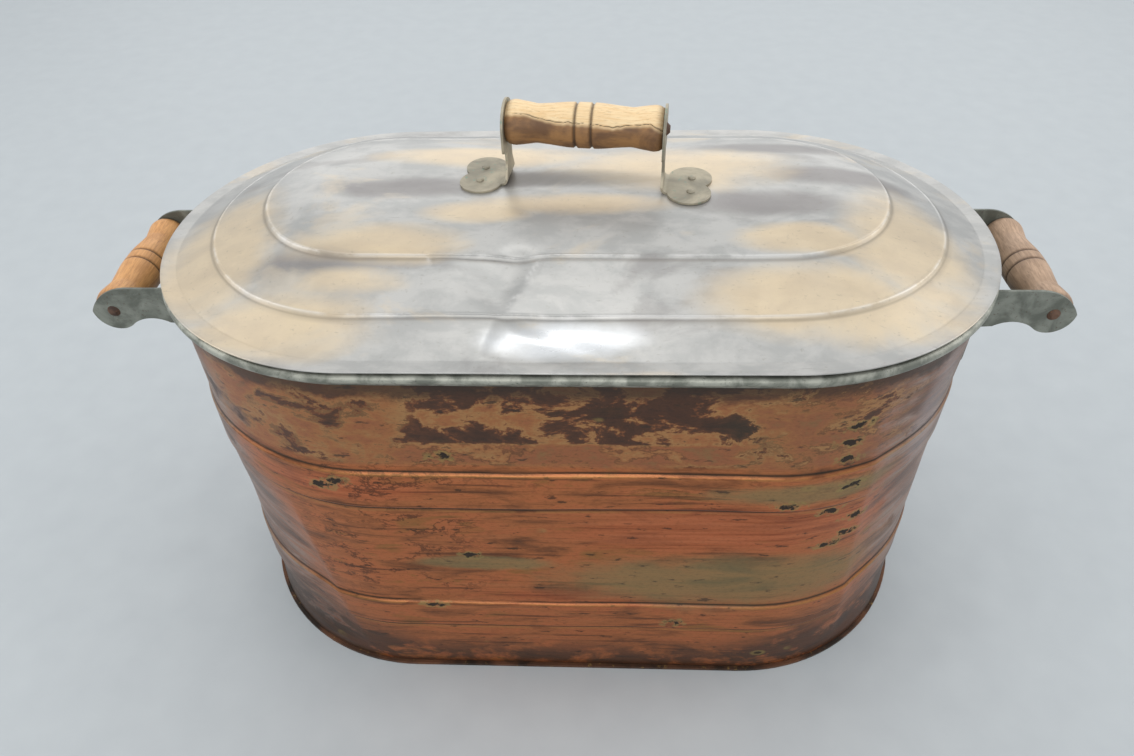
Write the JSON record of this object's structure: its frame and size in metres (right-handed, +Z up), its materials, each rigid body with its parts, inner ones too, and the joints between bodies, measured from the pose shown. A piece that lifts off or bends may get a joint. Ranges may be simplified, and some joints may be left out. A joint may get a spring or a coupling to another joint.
{
  "type": "oval wash boiler with lid",
  "caption": "Oval copper wash boiler with two swaged bands, recessed seamed bottom, riveted side handles with turned grips, and a stepped lift-off lid with a turned grip.",
  "frame": {"origin": "middle of the base, on the floor", "axes": "+X along the oval from the left side handle to the right one, -Y is the front, +Z up"},
  "size_m": [0.702, 0.3266, 0.4327],
  "materials": {
    "copper": "copper, tarnished and stained",
    "rim_tin": "dull tinned",
    "lid_tin": "worn tinned, copper showing faintly through",
    "strap_tin": "dull tinned with a little verdigris",
    "dark_iron": "dark tinned iron",
    "iron_wire": "plain",
    "rusty_rod": "rusty",
    "orange_wood": "waxed, worn",
    "grey_wood": "bare, weathered",
    "pale_wood": "bare, cracked"
  },
  "bodies": {
    "boiler": {"body_front_sheet": "copper", "body_rear_sheet": "copper", "left_end_seam": "copper", "right_end_seam": "copper", "bottom_pan": "copper", "rim_band": "rim_tin", "rim_wire": "iron_wire", "left_handle_bracket": "dark_iron", "right_handle_bracket": "dark_iron", "left_bracket_rivets": "dark_iron", "right_bracket_rivets": "dark_iron", "left_handle_rod": "rusty_rod", "right_handle_rod": "rusty_rod"},
    "lid": {"lid_shell": "lid_tin", "lid_inner_flange": "lid_tin", "lid_bracket_left": "strap_tin", "lid_bracket_right": "strap_tin", "lid_rivets_left": "strap_tin", "lid_rivets_right": "strap_tin", "lid_handle_rod": "rusty_rod"},
    "left_grip": {"left_grip": "orange_wood"},
    "right_grip": {"right_grip": "grey_wood"},
    "lid_grip": {"lid_grip": "pale_wood"}
  },
  "joints": [
    {"name": "lid_lift", "type": "slide", "parent": "boiler", "child": "lid", "axis": [0, 0, 1], "range_m": [0, 0.15]},
    {"name": "left_grip_spin", "type": "hinge", "parent": "boiler", "child": "left_grip", "pos_m": [-0.335, 0, 0.301], "axis": [0, 1, 0], "continuous": true},
    {"name": "right_grip_spin", "type": "hinge", "parent": "boiler", "child": "right_grip", "pos_m": [0.335, 0, 0.301], "axis": [0, 1, 0], "continuous": true},
    {"name": "lid_grip_spin", "type": "hinge", "parent": "lid", "child": "lid_grip", "pos_m": [0.0085, 0, 0.4167], "axis": [0.9936, -0.1132, 0], "continuous": true}
  ]
}
